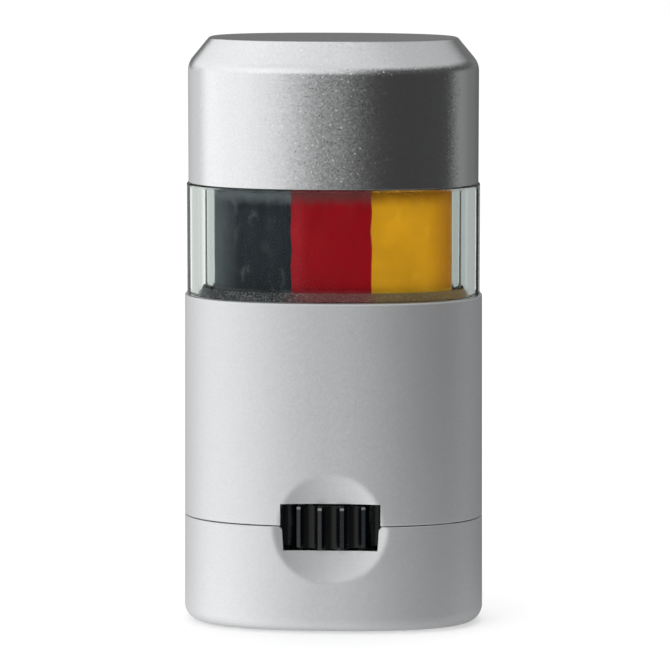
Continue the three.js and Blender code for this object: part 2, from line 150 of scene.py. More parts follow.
def label(key):
    """A key as the panel shows it."""
    return key.replace("_", " ").capitalize()


def length(key, about, size):
    """A size in millimetres as a length."""
    return FloatProperty(
        name=label(key), description=about, default=size * MM, min=0.0, unit="LENGTH", precision=5
    )


def colour(key, about, tone):
    """A hex colour as a swatch."""
    return FloatVectorProperty(
        name=label(key), description=about, default=linear(tone), min=0.0, max=1.0, size=3, subtype="COLOR"
    )


class PaintStickSizes(bpy.types.PropertyGroup):
    """Sizes of the stick"""

    __annotations__ = {key: length(key, *row) for key, row in SIZES.items()}


class PaintStickColours(bpy.types.PropertyGroup):
    """Colours of the stick's materials"""

    __annotations__ = {key: colour(key, *row) for key, row in COLOURS.items()}


# The housing's plan is a superellipse: this is its exponent, and the angles of a full ring.
OVAL_EXPONENT = 2.4
OVAL_STEPS = 288
FULL_TURN = np.arange(OVAL_STEPS) * 2 * math.pi / OVAL_STEPS

# Wheel: ribs, columns in each, the angle of one crest, and the rounding of crests and of the flutes' ends.
RIBS = 22
RIB_STEPS = 24
FIRST_CREST = math.radians(8.7 - 90)
CREST_BLEND = 0.12
FLUTE_END_ROUND = 0.12
# The crests have more points here than in the CAD part, so they are drawn in to stay inside its box.
CREST_RELIEF = 0.013

# Housing grid: places across its front, which the window's sides fall on, and shares of each end.
FRONT_HALF = 8
PER_MM = 6
END_STEPS = 64
ACROSS = np.arange(-FRONT_HALF * PER_MM, FRONT_HALF * PER_MM + 1) / PER_MM
SHARES = np.arange(1, END_STEPS) / END_STEPS
# Height of its rows in the dish, on the plain walls and inside.
DISH_ROW = 0.16
WALL_ROW = 1.2
INNER_ROW = 0.5
# Below the sill, the window's columns swing back to the body's window over this height.
WINDOW_SWING = 1.5
# The wheel's pocket is this many times as wide as the window.
POCKET_REACH = 1.2
LEVEL_TOLERANCE = 1e-6

# Radii of hidden edges, of the clear band's foot and neck, and of its shoulder.
SMALL_ROUND = 0.1
CLEAR_ROUND = 0.12
BAND_ROUND = 0.15
ARC_STEPS = 5
SHARP = math.radians(35)
BROAD_FACE_WEIGHT = 60

# Rings in the flat tops of the cap and the paint, this far in from their rounded edge.
CAP_TOP_RING = 2
PAINT_TOP_RINGS = (1.0, 2.2, 3.4)
PAINT_COLUMNS = 64
PAINT_ROW = 0.5
# The joints of the colours wander slowly and finely: seeds across and along, waves per mm, and share.
WANDER = ((3.1, 0.0, 0.45, 1.0), (7.7, 2.0, 1.6, 0.4))
# Hand-cast unevenness: depth and waves per mm of the dents in the sides, and of the hollows on top.
DENT, DENT_WAVES = 0.05, 0.55
HOLLOW, HOLLOW_WAVES = 0.12, 0.4
# Nearer than this to its middle plane, a block isn't dented.
DENT_LIMIT = 0.5

# Each block of paint: colour; its left and right joint, -1 or 1, or 0 for an end; colour and share of its
# smears; share of its specks; start and end across, colour and share of its zone of rubbing and painted light
# (a lighter smear on the red, a painted light on the black's left end, a painted shade on the yellow's right
# end); colour of its bloom mixed with the painted shade of the cap, at its top.
PAINTS = (
    ("black", 0, -1, "#7c8286", 0.45, 0.5, (-10.5, -13.6, "#5c6266", 0.8), "#7a8085"),
    ("red", -1, 1, "#d04a52", 0.2, 0.12, (-2.8, -4.0, "#c8303c", 0.35), "#7d4445"),
    ("yellow", 1, 0, "#ffd24a", 0.3, 0.1, (10.5, 14.0, "#9a5a06", 0.8), "#9d620a"),
)


def plan(context):
    """Every size in millimetres, with the levels and insets that follow from them, and the colours."""
    sizes = context.scene.paint_stick_sizes
    p = SimpleNamespace(**{key: getattr(sizes, key) / MM for key in SIZES})
    p.colours = context.scene.paint_stick_colours
    p.seam = p.base_height
    p.rim = p.seam + p.body_height
    p.shoulder_level = p.rim + p.band_height
    p.neck_level = p.shoulder_level + p.neck_height
    p.top = p.shoulder_level + p.cap_height
    p.sill = p.seam - p.window_drop
    p.lintel = p.seam + p.window_rise
    p.wheel_radius = p.foot_half_depth + p.wheel_proud
    p.wheel_bottom = p.sill + p.wheel_play_below
    p.wheel_top = p.lintel - p.wheel_play_above
    p.sleeve_bottom = p.wheel_top + p.running_gap
    p.carrier_rim = p.rim + p.carrier_rise
    p.housing_inner = p.draft + p.wall
    p.band_outer = p.draft + p.band_step
    p.band_inner = p.band_outer + p.band_wall
    p.tube_outer = p.band_inner + p.tube_gap
    p.tube_inner = p.tube_outer + p.tube_wall
    p.collar_foot = p.band_inner + p.seam_round
    p.collar_top = p.tube_outer - p.running_gap
    p.cap_outer = p.band_outer + p.cap_step
    p.cap_inner = p.cap_outer + p.wall
    p.neck_outer = p.cap_inner + p.neck_gap
    p.paint_inset = p.tube_inner + p.running_gap
    p.cup_inner = p.paint_inset + p.cup_wall
    return p


# Profiles and rings


def quarter_round(radius, points):
    """How far each point of a rounded edge is from the side that it leaves, and from the one it ends on."""
    turns = np.linspace(0, math.pi / 2, points)
    return [(radius * (1 - math.cos(t)), radius * (1 - math.sin(t))) for t in turns]


def steps(start, end, size):
    """Levels from start to end, about one size apart, without the start."""
    count = max(1, round(abs(end - start) / size))
    return [start + (end - start) * (i + 1) / count for i in range(count)]


def softened(corners):
    """A profile with its corners rounded. Each is across, level and radius, which is 0 at both ends."""
    points = []
    for i, (x, z, radius) in enumerate(corners):
        here = Vector((x, z))
        if not radius:
            points.append((x, z))
            continue
        back = (Vector(corners[i - 1][:2]) - here).normalized()
        ahead = (Vector(corners[i + 1][:2]) - here).normalized()
        half = back.angle(ahead) / 2
        run = radius / math.tan(half)
        centre = here + (back + ahead).normalized() * radius / math.sin(half)
        start = here + back * run - centre
        end = here + ahead * run - centre
        turn = start.angle(end)
        for step in range(ARC_STEPS + 1):
            part = turn * step / ARC_STEPS
            arm = (start * math.sin(turn - part) + end * math.sin(part)) / math.sin(turn)
            points.append(tuple(centre + arm))
    return points


def spokes(angles):
    """Points at those angles, 1 mm from the axis."""
    return np.column_stack([np.cos(angles), np.sin(angles)])


def on_oval(angles, p, inset):
    """Points of the housing's oval, drawn in by an inset, at those angles."""
    halves, arms = (p.foot_half_width - inset, p.foot_half_depth - inset), spokes(angles)
    return halves * np.sign(arms) * np.abs(arms) ** (2 / OVAL_EXPONENT)


def oval_depth(x, p, inset):
    """Distance of the oval from the middle plane where it is x across."""
    share = np.clip(np.abs(x) / (p.foot_half_width - inset), 0, 1)
    return (p.foot_half_depth - inset) * (1 - share**OVAL_EXPONENT) ** (1 / OVAL_EXPONENT)


def at_level(ring, z):
    """A flat ring of points as points in space."""
    return np.column_stack([ring, np.full(len(ring), z)])


def lofted(rings, joined=False):
    """Points and faces of a skin over rings of equal count: joined into a loop, or closed at both ends."""
    count = len(rings[0])
    faces = []
    for i in range(len(rings) - (not joined)):
        here, there = i * count, (i + 1) % len(rings) * count
        for j in range(count):
            k = (j + 1) % count
            faces.append((here + j, here + k, there + k, there + j))
    if not joined:
        last = (len(rings) - 1) * count
        faces += [tuple(reversed(range(count))), tuple(range(last, last + count))]
    return np.concatenate(rings), faces


def oval_rings(profile, p):
    """Rings on the oval for a profile of insets and levels."""
    return [at_level(on_oval(FULL_TURN, p, inset), z) for inset, z in profile]


# Pieces


def make_piece(name, points, faces, material, body, slot, node):
    """A smooth-shaded piece that rides on a body and stands for its CAD node."""
    mesh = bpy.data.meshes.new(name)
    mesh.from_pydata((np.asarray(points) * MM).tolist(), [], faces)
    mesh.validate()
    mesh.materials.append(material)
    mesh.shade_smooth()
    mesh.set_sharp_from_angle(angle=SHARP)
    piece = bpy.data.objects.new(name, mesh)
    bpy.context.scene.collection.objects.link(piece)
    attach(piece, body)
    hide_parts(node)
    face_outwards(mesh)
    return piece


def face_outwards(mesh):
    """Turns every face of a closed mesh to the outside."""
    edited = bmesh.new()
    edited.from_mesh(mesh)
    bmesh.ops.recalc_face_normals(edited, faces=edited.faces)
    edited.to_mesh(mesh)
    edited.free()


def weigh_normals(piece):
    """Lets the broad faces rule the shading, so that narrow roundings don't bend it."""
    modifier = piece.modifiers.new("broad faces rule", "WEIGHTED_NORMAL")
    modifier.keep_sharp = True
    modifier.weight = BROAD_FACE_WEIGHT


def round_edges(piece, edges, width):
    """Rounds the named edges of a piece, which are pairs of points."""
    wanted = {frozenset(edge) for edge in edges}
    weights = [float(frozenset(edge.vertices) in wanted) for edge in piece.data.edges]
    layer = piece.data.attributes.new("bevel_weight_edge", "FLOAT", "EDGE")
    layer.data.foreach_set("value", weights)
    modifier = piece.modifiers.new("window edge", "BEVEL")
    modifier.limit_method = "WEIGHT"
    modifier.width = width * MM
    modifier.segments = 2


# Housing grid: columns run round the oval, rows run up it


def window_reach(z, p, silver_base):
    """Half width of the window at a level, also where the grid only passes it by."""
    if not silver_base:
        return p.window_half_width
    seam_side = p.seam - p.seam_gap / 2
    at_seam = p.window_half_width - p.window_step
    levels = [p.sill - WINDOW_SWING, p.sill, seam_side - p.window_corner, seam_side]
    halves = [p.window_half_width, at_seam - p.window_taper, at_seam, at_seam + p.window_corner]
    return float(np.interp(z, levels, halves))


def dish_surface(x, z, p, dish, skin=0.0):
    """Distance of the finger dish, or of the skin behind it, from the middle plane, or else a large one."""
    half_width, half_height, depth = dish
    depth, bowl = depth + skin, p.dish_bowl + skin
    depth_at_side = depth - (p.foot_half_depth - oval_depth(half_width, p, 0))
    spread_side = math.sqrt(1 - (1 - depth_at_side / bowl) ** 2)
    spread_middle = math.sqrt(1 - (1 - depth / bowl) ** 2)
    inside = (
        1
        - (x / ((half_width + skin) / spread_side)) ** 2
        - ((z - p.seam) / ((half_height + skin) / spread_middle)) ** 2
    )
    middle = p.foot_half_depth - depth + bowl
    return np.where(inside > 0, middle - bowl * np.sqrt(np.clip(inside, 0, 1)), 2 * middle)


def blended(a, b, reach):
    """The smaller of two distances, rounded where they cross."""
    share = np.clip(reach - np.abs(a - b), 0, None) / reach
    return np.minimum(a, b) - share**2 * reach / 4


def grid_row(inset, z, p, dish, silver_base, inner=False):
    """One row of the housing's grid, on its outside or its inside."""
    reach = window_reach(z, p, silver_base)
    away, half = np.abs(ACROSS), p.window_half_width
    beside = reach + (away - half) * (FRONT_HALF - reach) / (FRONT_HALF - half)
    x = np.sign(ACROSS) * np.where(away <= half, away * reach / half, beside)
    depth = oval_depth(x, p, inset)
    if inner:
        depth = np.minimum(depth, dish_surface(x, z, p, dish, p.wall))
        if p.sill - LEVEL_TOLERANCE <= z <= p.lintel + LEVEL_TOLERANCE:
            pocket = np.sqrt(np.clip((p.wheel_radius + p.wheel_pocket_gap) ** 2 - x**2, 0, None))
            depth = np.maximum(depth, np.where(np.abs(x) < POCKET_REACH * half, pocket, 0))
            depth = np.minimum(depth, oval_depth(x, p, p.housing_inner / 2))
    else:
        depth = blended(depth, dish_surface(x, z, p, dish), p.dish_blend)
    limit = math.acos((FRONT_HALF / (p.foot_half_width - inset)) ** (OVAL_EXPONENT / 2))
    right = on_oval(limit * (2 * SHARES - 1), p, inset)
    front = np.column_stack([x, -depth])
    return at_level(np.concatenate([front, right, -front, -right]), z)


def housing_shell(outer, inner, notch_rows, p, dish, silver_base):
    """Points, faces and window edges of a silver shell. Both profiles start at the seam, and their first rows,
    up to the window's far edge, are paired. Only the base has a closed foot."""
    rows = [grid_row(inset, z, p, dish, silver_base) for inset, z in outer]
    rows += [grid_row(inset, z, p, dish, silver_base, True) for inset, z in inner]
    count = len(rows[0])
    window = np.nonzero(np.abs(ACROSS) <= p.window_half_width + LEVEL_TOLERANCE)[0]
    first, last = int(window[0]), int(window[-1])
    back = len(ACROSS) + len(SHARES)
    openings = [(first, last), (back + first, back + last)]
    inner_start = len(outer)

    def at(row, column):
        return row * count + column % count

    def is_open(row, column):
        return row < notch_rows and any(low <= column < high for low, high in openings)

    def strip(a, b, j):
        return at(a, j), at(a, j + 1), at(b, j + 1), at(b, j)

    faces = []
    for start, size in ((0, len(outer)), (inner_start, len(inner))):
        for i in range(size - 1):
            faces += [strip(start + i, start + i + 1, j) for j in range(count) if not is_open(i, j)]
    faces += [strip(0, inner_start, j) for j in range(count) if not is_open(0, j)]
    ends = (len(outer) - 1, inner_start + len(inner) - 1)
    if silver_base:
        faces += [tuple(at(row, j) for j in range(count)) for row in ends]
    else:
        faces += [strip(*ends, j) for j in range(count)]
    edges = []
    for low, high in openings:
        for column in (low, high):
            for i in range(notch_rows):
                a, b = at(i, column), at(i + 1, column)
                faces.append((a, b, at(inner_start + i + 1, column), at(inner_start + i, column)))
                edges.append((a, b))
        for j in range(low, high):
            faces.append(strip(notch_rows, inner_start + notch_rows, j))
            edges.append((at(notch_rows, j), at(notch_rows, j + 1)))
    return np.concatenate(rows), faces, edges


def drafted(levels, p):
    """The drafted outside of the housing at those levels."""
    return [(p.draft * z / p.rim, z) for z in levels]


def window_rows(seam_side, way, far, p):
    """Outside and inside of a shell, from its seam to the window's far edge, and the number of steps."""
    across = p.draft * seam_side / p.rim
    outer = [(across + still, seam_side + way * gone) for gone, still in quarter_round(p.seam_round, 4)]
    outer += drafted(steps(outer[-1][1], far, DISH_ROW), p)
    return outer, [(p.housing_inner, z) for _, z in outer], len(outer) - 1


def build_base(p):
    """Silver base: rounded foot, lower half of the window, lower finger dish."""
    dish = (p.base_dish_half_width, p.base_dish_half_height, p.base_dish_depth)
    dish_foot = p.seam - p.base_dish_half_height - p.dish_blend
    outer, inner, notch_rows = window_rows(p.seam - p.seam_gap / 2, -1, p.sill, p)
    outer += drafted(steps(p.sill, dish_foot, DISH_ROW) + steps(dish_foot, p.foot_fillet, WALL_ROW), p)
    outer += quarter_round(p.foot_fillet, 13)[1:]
    inner += [(p.housing_inner, z) for z in steps(p.sill, p.floor + p.wall, INNER_ROW)]
    inner.append((p.housing_inner + p.wall, p.floor))
    return housing_shell(outer, inner, notch_rows, p, dish, True)


def build_body(p):
    """Silver body: upper half of the window, upper finger dish, rim and collar."""
    dish = (p.body_dish_half_width, p.body_dish_half_height, p.body_dish_depth)
    dish_top = p.seam + p.body_dish_half_height + p.dish_blend
    rim_foot = p.rim - 2 * p.rim_round
    lip_bottom = p.rim - p.wall
    collar = [
        (p.draft, rim_foot, 0),
        (p.draft, p.rim, p.rim_round),
        (p.collar_foot, p.rim, SMALL_ROUND),
        (p.collar_top, p.rim + p.collar_height, 0),
    ]
    outer, inner, notch_rows = window_rows(p.seam + p.seam_gap / 2, 1, p.lintel, p)
    outer += drafted(steps(p.lintel, dish_top, DISH_ROW) + steps(dish_top, rim_foot, WALL_ROW), p)
    outer += softened(collar)[1:]
    inner += [(p.housing_inner, z) for z in steps(p.lintel, dish_top + p.wall, INNER_ROW)]
    inner += [(p.housing_inner, lip_bottom - (p.collar_top - p.housing_inner)), (p.collar_top, lip_bottom)]
    return housing_shell(outer, inner, notch_rows, p, dish, False)


# Wheel, sleeve, cap and paint


def wheel_outline(p):
    """Radius of the ribbed rim at each column, with its crests rounded into the flutes."""
    pitch = 2 * math.pi / RIBS
    tip = p.rib_tip / p.wheel_radius
    chord = p.wheel_radius * math.sin((pitch - tip) / 2)
    chord_depth = p.wheel_radius * math.cos((pitch - tip) / 2)
    sink = p.flute_depth - (p.wheel_radius - chord_depth)
    flute = (chord**2 + sink**2) / (2 * sink)
    centre = chord_depth - sink + flute
    columns = np.arange(RIBS * RIB_STEPS)
    angles = FIRST_CREST + columns * pitch / RIB_STEPS
    off = (columns % RIB_STEPS) / RIB_STEPS * pitch - pitch / 2
    inside = flute**2 - (centre * np.sin(off)) ** 2
    hollow = centre * np.cos(off) - np.sqrt(np.clip(inside, 0, None))
    flutes = np.where(inside > 0, hollow, p.wheel_radius + 1)
    return angles, blended(flutes, p.wheel_radius - CREST_RELIEF, CREST_BLEND)


def build_wheel(p):
    """Black thumb wheel: ribbed rim with rounded rib ends, web, and hub."""
    low, high = p.wheel_bottom, p.wheel_top
    web_low = (low + high - p.wheel_web) / 2
    web_high = web_low + p.wheel_web
    inner_rim = p.wheel_radius - p.wheel_rim
    angles, outline = wheel_outline(p)
    crest = (outline - (p.wheel_radius - p.flute_depth)) / p.flute_depth
    size = FLUTE_END_ROUND + (p.rib_round - FLUTE_END_ROUND) * crest

    def ring(radius, z):
        radii = np.broadcast_to(radius, len(angles)).reshape(-1, 1)
        return np.column_stack([spokes(angles) * radii, np.broadcast_to(z, len(angles))])

    def rounded(end, way):
        return [ring(outline - still, end + way * gone) for gone, still in quarter_round(size, 6)]

    below = [(p.pivot_bore, low + p.pivot_bore), (p.pivot_bore, low), (p.wheel_hub, low)]
    below += [(p.wheel_hub, web_low), (inner_rim, web_low), (inner_rim, low)]
    above = [(inner_rim, high), (inner_rim, web_high), (p.wheel_hub, web_high)]
    above += [(p.wheel_hub, high), (p.socket, high), (p.socket, high - p.socket_depth)]
    rings = [ring(*each) for each in below] + rounded(low, 1) + rounded(high, -1)[::-1]
    return lofted(rings + [ring(*each) for each in above])


def build_sleeve(p):
    """Clear sleeve: outer band, web, neck, paint tube and pierced floor."""
    web = p.shoulder_level - p.web
    band_foot = p.rim + p.seam_gap / 2
    floor_top = p.sleeve_bottom + p.sleeve_floor
    corners = [
        (p.tube_outer, p.sleeve_bottom, 0),
        (p.tube_outer, web, SMALL_ROUND),
        (p.band_inner, web, SMALL_ROUND),
        (p.band_inner, band_foot, SMALL_ROUND),
        (p.band_outer, band_foot, CLEAR_ROUND),
        (p.band_outer, p.shoulder_level, BAND_ROUND),
        (p.neck_outer, p.shoulder_level, CLEAR_ROUND),
        (p.neck_outer, p.neck_level - p.neck_chamfer, SMALL_ROUND),
        (p.neck_outer + p.neck_chamfer, p.neck_level, SMALL_ROUND),
        (p.tube_inner, p.neck_level, SMALL_ROUND),
        (p.tube_inner, floor_top, 0),
    ]
    hole = p.journal_bore * spokes(FULL_TURN)
    bore = [at_level(hole, floor_top), at_level(hole, p.sleeve_bottom)]
    return lofted(oval_rings(softened(corners), p) + bore, joined=True)


def build_cap(p):
    """Silver cap: hollow, with a sloped top edge."""
    rest = p.shoulder_level + p.seam_gap
    slope_foot = p.top - p.cap_slope_height
    slope = p.cap_slope_in / p.cap_slope_height
    slope_end = p.cap_outer + p.cap_slope_in
    ceiling = p.top - p.cap_roof
    inner_foot = slope_foot - p.wall * math.tan(math.atan(slope) / 2)
    corners = [
        (p.cap_inner, rest, 0),
        (p.cap_outer, rest, p.seam_round),
        (p.cap_outer, (rest + slope_foot) / 2, 0),
        (p.cap_outer, slope_foot, p.cap_slope_round),
        (slope_end, p.top, p.cap_top_round),
        (slope_end + CAP_TOP_RING, p.top, 0),
    ]
    hollow = [(p.cap_inner + slope * (ceiling - inner_foot), ceiling), (p.cap_inner, inner_foot)]
    return lofted(oval_rings(hollow + softened(corners), p))


def paint_joint(z, side, p):
    """Place across of the wandering joint between two colours, at a level above the carrier's rim."""
    third = (p.foot_half_width - p.paint_inset) / 3
    wander = sum(share * noise.noise(Vector((side * a, b, z * waves))) for a, b, waves, share in WANDER)
    return side * third + p.paint_wave * wander


def build_paint(left, right, p):
    """One cast block of paint, between its left and right joints, which are as in PAINTS."""
    flat = p.paint_height - p.paint_edge
    profile = [(p.cup_inner + p.cast_gap, z) for z in (p.cast_gap - p.cup_depth, p.cast_gap)]
    profile += [(p.paint_inset, z) for z in [p.cast_gap] + steps(p.cast_gap, flat, PAINT_ROW)]
    edge = quarter_round(p.paint_edge, 6)[1:]
    profile += [(p.paint_inset + gone, p.paint_height - still) for gone, still in edge]
    profile += [(p.paint_inset + p.paint_edge + extra, p.paint_height) for extra in PAINT_TOP_RINGS]
    rings = []
    for inset, z in profile:
        ends = []
        for side, free in ((left, math.pi), (right, 0.0)):
            share = paint_joint(z, side, p) / (p.foot_half_width - inset) if side else 0
            ends.append(math.acos(np.sign(share) * abs(share) ** (OVAL_EXPONENT / 2)) if side else free)
        angles = np.linspace(ends[0], ends[1], PAINT_COLUMNS)
        front = on_oval(-angles, p, inset)
        back = on_oval(angles, p, inset)[::-1]
        back = back[(0 if right else 1) : (None if left else -1)]
        ring = at_level(np.concatenate([front, back]), p.carrier_rim + z)
        for point in ring:
            dent = DENT * (1 + noise.noise(Vector(point) * DENT_WAVES))
            point[1] -= math.copysign(dent, point[1]) if abs(point[1]) > DENT_LIMIT else 0
            if z >= p.paint_height - LEVEL_TOLERANCE:
                point[2] -= HOLLOW * (1 + noise.noise(Vector(point) * HOLLOW_WAVES))
        rings.append(ring)
    return lofted(rings)


# Nodes


def add(tree, kind, inputs=None, **settings):
    """A node with its settings, and its sockets set to a value or linked to another node's socket."""
    node = tree.nodes.new(kind)
    for key, value in settings.items():
        setattr(node, key, value)
    for key, value in (inputs or {}).items():
        if isinstance(value, bpy.types.NodeSocket):
            tree.links.new(value, node.inputs[key])
        else:
            node.inputs[key].default_value = value
    return node


def calc(tree, operation, a, b=0.0):
    """A sum on numbers."""
    return add(tree, "ShaderNodeMath", {0: a, 1: b}, operation=operation).outputs[0]


def vector(tree, operation, inputs, output="Vector"):
    """A sum on vectors."""
    return add(tree, "ShaderNodeVectorMath", inputs, operation=operation).outputs[output]


def axis_of(tree, place, axis):
    """One of the three parts of a place or a colour."""
    return add(tree, "ShaderNodeSeparateXYZ", {"Vector": place}).outputs[axis]


def remap(tree, value, start, end, low=0.0, high=1.0, kind="LINEAR", clamp=True):
    """A number, taken from one range to another."""
    ranges = {"Value": value, "From Min": start, "From Max": end, "To Min": low, "To Max": high}
    return add(tree, "ShaderNodeMapRange", ranges, interpolation_type=kind, clamp=clamp).outputs["Result"]


def mix(tree, share, a, b):
    """Two colours, mixed by a share."""
    return add(tree, "ShaderNodeMix", {"Factor": share, "A": a, "B": b}, data_type="RGBA").outputs["Result"]


def noise_of(tree, place, size, detail):
    """Noise whose features have a size in millimetres."""
    settings = {"Vector": place, "Scale": 1 / (size * MM), "Detail": detail}
    return add(tree, "ShaderNodeTexNoise", settings).outputs["Fac"]


def bumped(tree, height, strength, depth):
    """Normal of a surface with a relief, whose depth is in millimetres."""
    settings = {"Strength": strength, "Distance": depth * MM, "Height": height}
    return add(tree, "ShaderNodeBump", settings).outputs[0]


def opaque(rgb):
    """A colour with full alpha."""
    return (*rgb, 1.0)


def hexed(hex_colour):
    """A hex colour for a socket."""
    return opaque(linear(hex_colour))


def grey(level):
    """A linear grey for a socket."""
    return (level, level, level, 1.0)


def new_material(name):
    """An empty node material, its tree, and the place on the object."""
    material = bpy.data.materials.new(name)
    material.use_nodes = True
    tree = material.node_tree
    tree.nodes.clear()
    return material, tree, add(tree, "ShaderNodeTexCoord").outputs["Object"]


def surfaced(material, shader):
    """The material, with a shader as its surface."""
    add(material.node_tree, "ShaderNodeOutputMaterial", {"Surface": shader.outputs[0]})
    return material


def principled(material, inputs):
    """The material, with a Principled shader of those inputs."""
    return surfaced(material, add(material.node_tree, "ShaderNodeBsdfPrincipled", inputs))


# Materials


def silver_lacquer(name, p, metallic, roughness, sparkle, tilt, upturned=0.0):
    """ABS moulding with a sprayed coat of aluminium flake: a satin metal that scatters a soft reflection,
    broken up by single flakes that catch the light."""
    material, tree, place = new_material(name)
    # The real flakes are about 0.03 mm; they are drawn as coarse as the picture can show.
    cells = {"Vector": place, "Scale": 1 / (p.flake * MM)}
    flakes = add(tree, "ShaderNodeTexVoronoi", cells).outputs["Color"]
    glint = remap(tree, flakes, 0.0, 1.0, 1 - sparkle, 1 + sparkle, clamp=False)
    tone = vector(tree, "SCALE", {0: p.colours.silver[:], "Scale": glint})
    # Slow cloudiness of the sprayed coat, about 6 mm across.
    cloud = noise_of(tree, place, 6, 2.0)
    veil = remap(tree, cloud, 0.0, 1.0, roughness - 0.02, roughness + 0.02)
    # Orange peel of the lacquer, about 0.8 mm across and a hundredth of a millimetre deep.
    skin = bumped(tree, noise_of(tree, place, 0.8, 3.0), 0.25, 0.01)
    # Each flake lies at its own small tilt, so that single ones shine where the coat is dark.
    lie = vector(tree, "SUBTRACT", {0: flakes, 1: (0.5, 0.5, 0.5)})
    # One flake in sixteen lies less flat and mirrors what is further to the side, as a brighter point.
    steep = calc(tree, "GREATER_THAN", axis_of(tree, flakes, "Z"), 0.94)
    amount = remap(tree, steep, 0.0, 1.0, tilt, tilt + upturned)
    leant = vector(tree, "SCALE", {0: lie, "Scale": amount})
    facing = vector(tree, "NORMALIZE", {0: vector(tree, "ADD", {0: skin, 1: leant})})
    coat = {"Base Color": tone, "Metallic": metallic, "Roughness": veil, "Normal": facing}
    return principled(material, coat)


def shaded_collar_lacquer(p):
    """Silver lacquer of the collar, painted dark as painted shade, since it lies in the shade of the clear
    band;
    finely speckled with bare silver, and coloured under the red and the yellow block with a painted reflection
    of the paint."""
    material, tree, place = new_material("silver_lacquer_paint_dust")
    across = axis_of(tree, place, "X")
    # Dark grey: painted shade of the clear band. Under the red and the yellow block it takes their colour, a
    # painted reflection of the paint above.
    shade_and_reflection = hexed("#36383c")
    for start, end, tint in ((-6.5, -2.5, "#7c3c3c"), (3.4, 6.2, "#786034")):
        share = remap(tree, across, start * MM, end * MM, kind="SMOOTHSTEP")
        shade_and_reflection = mix(tree, share, shade_and_reflection, hexed(tint))
    # Specks 0.2 mm across, drawn as coarse as the picture can show, where the bare silver shows through: more
    # of them under the black block, fewer under the red and the yellow.
    speck_amount = remap(tree, across, -7 * MM, 0.0, 0.34, 0.12)
    bare = remap(tree, noise_of(tree, place, 0.2, 2.0), 0.48, 0.7, 0.0, speck_amount)
    speckled = mix(tree, bare, shade_and_reflection, opaque(p.colours.silver))
    return principled(material, {"Base Color": speckled, "Metallic": 0.4, "Roughness": 0.5})


def clear_styrene(p):
    """Clear injection-moulded styrene: glass-like, with faint haze, flow lines, and a frosted shoulder."""
    material, tree, place = new_material("clear_styrene_moulded")
    # Flow lines of the moulding, 1.5 mm apart and drawn out along the height.
    drawn = add(tree, "ShaderNodeMapping", {"Vector": place, "Scale": (1.0, 1.0, 0.12)}).outputs[0]
    flow = noise_of(tree, drawn, 1.5, 2.0)
    haze = remap(tree, flow, 0.4, 0.7, 0.02, 0.07)
    # The shoulder and what is next to it are frosted, as the tool is not polished there.
    foot, top = p.shoulder_level - 3 * p.web, p.shoulder_level - p.web
    frost = remap(tree, axis_of(tree, place, "Z"), foot * MM, top * MM, 0.0, 0.25)
    surface = {
        "Base Color": opaque(p.colours.clear),
        "Roughness": calc(tree, "ADD", haze, frost),
        "IOR": 1.45,
        "Specular Tint": grey(0.2),
        "Transmission Weight": 1.0,
        "Normal": bumped(tree, flow, 0.2, 0.03),
    }
    return principled(material, surface)


def moulded_plastic(name, rgb, roughness, ior, grain, wear_and_highlight=None):
    """Moulded plastic with a fine spark-eroded grain, which dulls its gloss a little. The last argument gives
    the radius beyond which the crests are grey, partly worn and partly a painted highlight, the level above
    which they are paler, a painted highlight of the lamp overhead, and the greys of both."""
    material, tree, place = new_material(name)
    texture = noise_of(tree, place, grain, 4.0)
    base = opaque(rgb)
    if wear_and_highlight:
        radius, level, rub_and_light_colour, painted_glint_grey = wear_and_highlight
        from_axis = vector(tree, "MULTIPLY", {0: place, 1: (1.0, 1.0, 0.0)})
        away = vector(tree, "LENGTH", {0: from_axis}, "Value")
        on_crest = remap(tree, away, (radius - 0.12) * MM, radius * MM)
        on_end = remap(tree, axis_of(tree, place, "Z"), level * MM, (level + 0.25) * MM)
        base = mix(tree, on_crest, base, mix(tree, on_end, hexed(rub_and_light_colour), hexed(painted_glint_grey)))
    gloss = remap(tree, texture, 0.0, 1.0, roughness - 0.08, roughness + 0.08)
    grained = bumped(tree, texture, 0.3, 0.02)
    return principled(material, {"Base Color": base, "Roughness": gloss, "IOR": ior, "Normal": grained})


